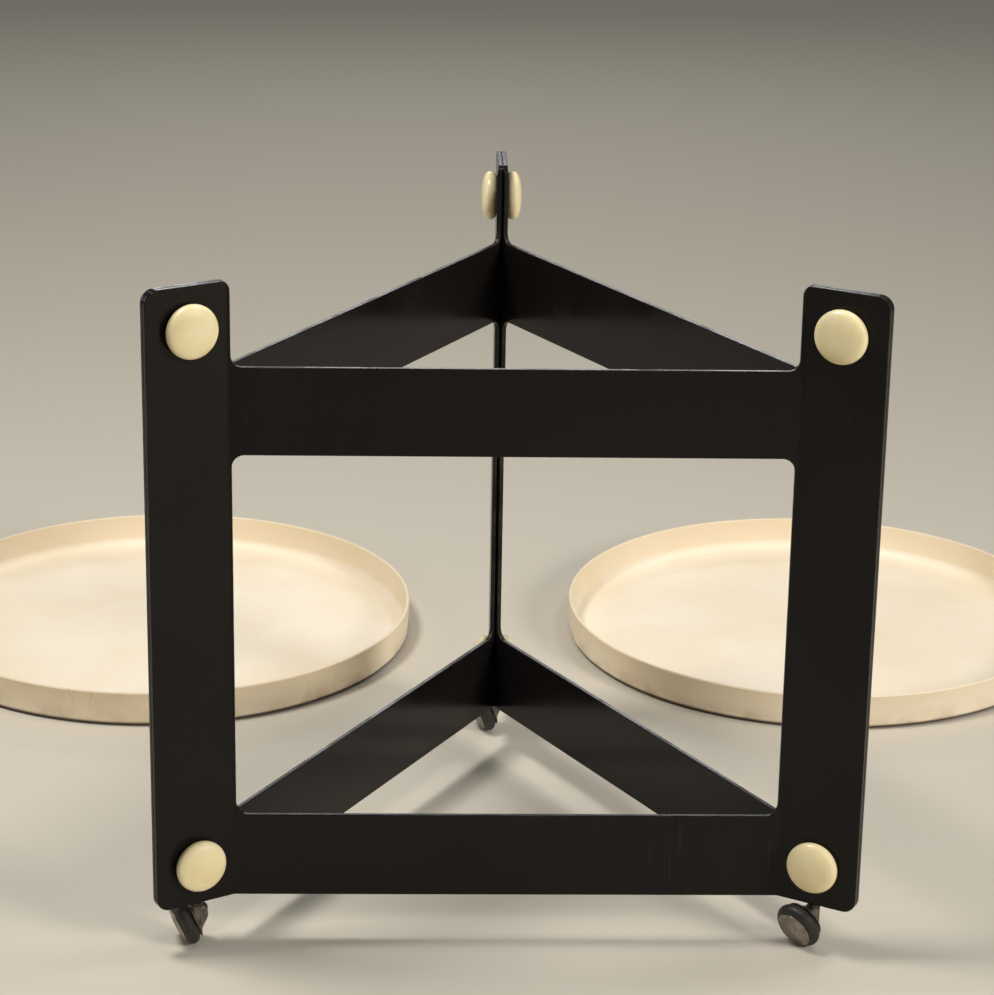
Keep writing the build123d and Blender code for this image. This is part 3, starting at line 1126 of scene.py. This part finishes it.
@dataclass
class Tray:
    """A round tray with a low wall, a coved inside and a rounded heel."""

    shop: Workshop
    side: Side
    diameter: float = 598.0
    height: float = 41.5
    wall: float = 4.0
    floor: float = 4.0
    floor_rings: tuple[float, ...] = (0.75, 0.5, 0.25, 0.0)
    draft: float = 2.0
    lean: float = 3.0  # of the wall, which its draft gives it
    cove: float = 11.0
    cove_steps: int = 10
    heel: float = 7.0
    heel_steps: int = 8
    rim: float = 1.6
    rim_steps: int = 6
    # Heights over which the heel is darkened as painted shade with some grime.
    grime_and_shade_height: float = 6.0
    grime_and_shade_fade: float = 2.5
    steps: int = 240

    def build(self) -> None:
        """Turns the tray and stands it where its CAD node stands."""
        node = f"{self.side.value}_tray"
        low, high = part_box(node)
        bm = turned(self.profile(), self.steps)
        self.soil_and_shade(bm)
        bm.transform(Matrix.Translation(((low.x + high.x) / 2, (low.y + high.y) / 2, low.z)))
        self.shop.piece(bm, node, f"tray_{self.side.value}", CREAM)

    def profile(self) -> list[Point]:
        """Draws the tray's section, from the middle of its underside to the middle of its floor.

        Returns:
            Radius and height of each point.
        """
        radius, lean = self.diameter / 2, self.lean
        foot = radius - self.draft
        points = [(0.0, 0.0)]
        points += arc((foot - self.heel, self.heel), self.heel, -90, -lean, self.heel_steps)
        crest, back = self.height - self.rim, radius - self.wall + self.rim
        points += arc((radius - self.rim, crest), self.rim, -lean, 90, self.rim_steps)
        points += arc((back, crest), self.rim, 90, 180 - lean, self.rim_steps)
        inner = foot - self.wall
        hollow = (inner - self.cove, self.floor + self.cove)
        points += arc(hollow, self.cove, -lean, -90, self.cove_steps)
        points += [(inner * share, self.floor) for share in self.floor_rings]
        return points

    def soil_and_shade(self, bm: bmesh.types.BMesh) -> None:
        """Marks where the colour changes: outside, at the heel, which is darkened as painted shade
        with some grime, and up the inner wall.

        Args:
            bm: The turned tray.
        """
        bm.normal_update()
        foot = (self.diameter / 2 - self.draft - self.heel) * MM
        outside = [
            float(v.co.xy.length > foot and v.normal.dot(v.co.xy.to_3d()) > 0) for v in bm.verts
        ]
        heights = [v.co.z / MM for v in bm.verts]
        # The heel mark: painted shade at the bottom edge, with some grime.
        depths = [(self.grime_and_shade_height - height) / self.grime_and_shade_fade for height in heights]
        grime_and_shade = [out * min(1.0, max(0.0, depth)) for out, depth in zip(outside, depths)]
        cove = self.floor + self.cove / 2
        mark(bm, "outside", outside)
        mark(bm, "heel", grime_and_shade)
        mark(bm, "wall", [min(1.0, max(0.0, height - cove) / self.cove) for height in heights])


@dataclass(frozen=True)
class Lamp:
    """A soft lamp.

    Attributes:
        name: Name of the lamp.
        place: Where it hangs.
        aim: Point that it faces.
        size: Its width and height.
        power: Watts.
        glare: Whether glossy surfaces mirror it.
    """

    name: str
    place: Triple
    aim: Triple
    size: tuple[float, float]
    power: float
    glare: bool = True

    def hang(self) -> None:
        """Hangs the lamp in the studio."""
        data = bpy.data.lights.new(self.name, "AREA")
        data.shape = "RECTANGLE"
        data.size, data.size_y = (side * MM for side in self.size)
        data.energy = self.power
        lamp = bpy.data.objects.new(self.name, data)
        lamp.location = Vector(self.place) * MM
        ray = Vector(self.aim) - Vector(self.place)
        lamp.rotation_euler = ray.to_track_quat("-Z", "Y").to_euler()
        lamp.visible_glossy = self.glare
        bpy.context.scene.collection.objects.link(lamp)


LAMPS = (
    Lamp(
        "overhead left",
        place=(-1100, 0, 2900),
        aim=(-100, 200, 200),
        size=(650, 650),
        power=52,
    ),
    Lamp(
        "overhead right",
        place=(1300, 300, 2900),
        aim=(150, 250, 200),
        size=(650, 650),
        power=14,
    ),
    Lamp(
        "right front key",
        place=(2900, -2300, 2000),
        aim=(0, 0, 350),
        size=(1000, 1000),
        power=72,
        glare=False,
    ),
    Lamp(
        "right front bloom",
        place=(2900, -2300, 2000),
        aim=(0, 0, 350),
        size=(1500, 1500),
        power=34,
    ),
    Lamp(
        "left side fill",
        place=(-3300, 700, 1500),
        aim=(300, 500, 100),
        size=(2400, 1600),
        power=17,
    ),
    Lamp(
        "rear strip",
        place=(0, 4200, 1900),
        aim=(0, 0, 500),
        size=(2000, 300),
        power=12,
    ),
)


@dataclass
class Studio:
    """Pale floor, soft lamps and the photograph's camera."""

    floor_colour: str = "#cbc1af"
    floor_roughness: float = 0.7
    floor_radius: float = 25000.0
    floor_steps: int = 96
    room_colour: str = "#6f7375"
    camera_place: Triple = (-100.4, -2824.7, 1387.1)
    camera_yaw: float = -1.828
    camera_pitch: float = -19.274
    camera_roll: float = 0.980
    camera_reach: float = 100000.0
    focal_length: float = 3071.1  # pixels of the image
    image_height: float = 995.0
    sensor: float = 36.0

    def build(self) -> None:
        """Sets up floor, world, lamps, camera and view."""
        self.floor()
        self.world()
        for lamp in LAMPS:
            lamp.hang()
        self.camera()
        bpy.context.scene.view_settings.view_transform = "Standard"

    def floor(self) -> None:
        """Lays a plain pale floor under the wheels."""
        bm = bmesh.new()
        radius = self.floor_radius * MM
        bmesh.ops.create_circle(bm, cap_ends=True, segments=self.floor_steps, radius=radius)
        mesh = bpy.data.meshes.new("floor")
        bm.to_mesh(mesh)
        bm.free()
        material = bpy.data.materials.new("pale floor")
        material.use_nodes = True
        shader = material.node_tree.nodes["Principled BSDF"]
        shader.inputs["Base Color"].default_value = linear(self.floor_colour)
        shader.inputs["Roughness"].default_value = self.floor_roughness
        mesh.materials.append(material)
        floor = bpy.data.objects.new("floor", mesh)
        bpy.context.scene.collection.objects.link(floor)

    def world(self) -> None:
        """Fills the room with an even grey light."""
        world = bpy.data.worlds.new("room")
        world.use_nodes = True
        background = world.node_tree.nodes["Background"]
        background.inputs["Color"].default_value = linear(self.room_colour)
        background.inputs["Strength"].default_value = 1.0
        bpy.context.scene.world = world

    def camera(self) -> None:
        """Stands the camera where the photograph was taken from."""
        data = bpy.data.cameras.new("camera")
        data.sensor_width = self.sensor
        data.lens = self.focal_length / self.image_height * self.sensor
        data.clip_end = self.camera_reach * MM
        camera = bpy.data.objects.new("camera", data)
        turn = (
            Matrix.Rotation(math.radians(self.camera_yaw), 4, "Z")
            @ Matrix.Rotation(math.radians(90 + self.camera_pitch), 4, "X")
            @ Matrix.Rotation(math.radians(self.camera_roll), 4, "Z")
        )
        camera.matrix_world = Matrix.Translation(Vector(self.camera_place) * MM) @ turn
        bpy.context.scene.collection.objects.link(camera)
        bpy.context.scene.camera = camera


def main() -> None:
    """Builds the cart's sub-assemblies and the studio, in order."""
    logging.basicConfig(level=logging.INFO, format="%(message)s")
    shop = Workshop()
    PanelFrame(shop).build()
    KnobSet(shop).build()
    for corner in Corner:
        BallCaster(shop, corner).build()
    for side in (Side.LEFT, Side.RIGHT):
        Tray(shop, side).build()
    Studio().build()


if __name__ == "__main__":
    main()
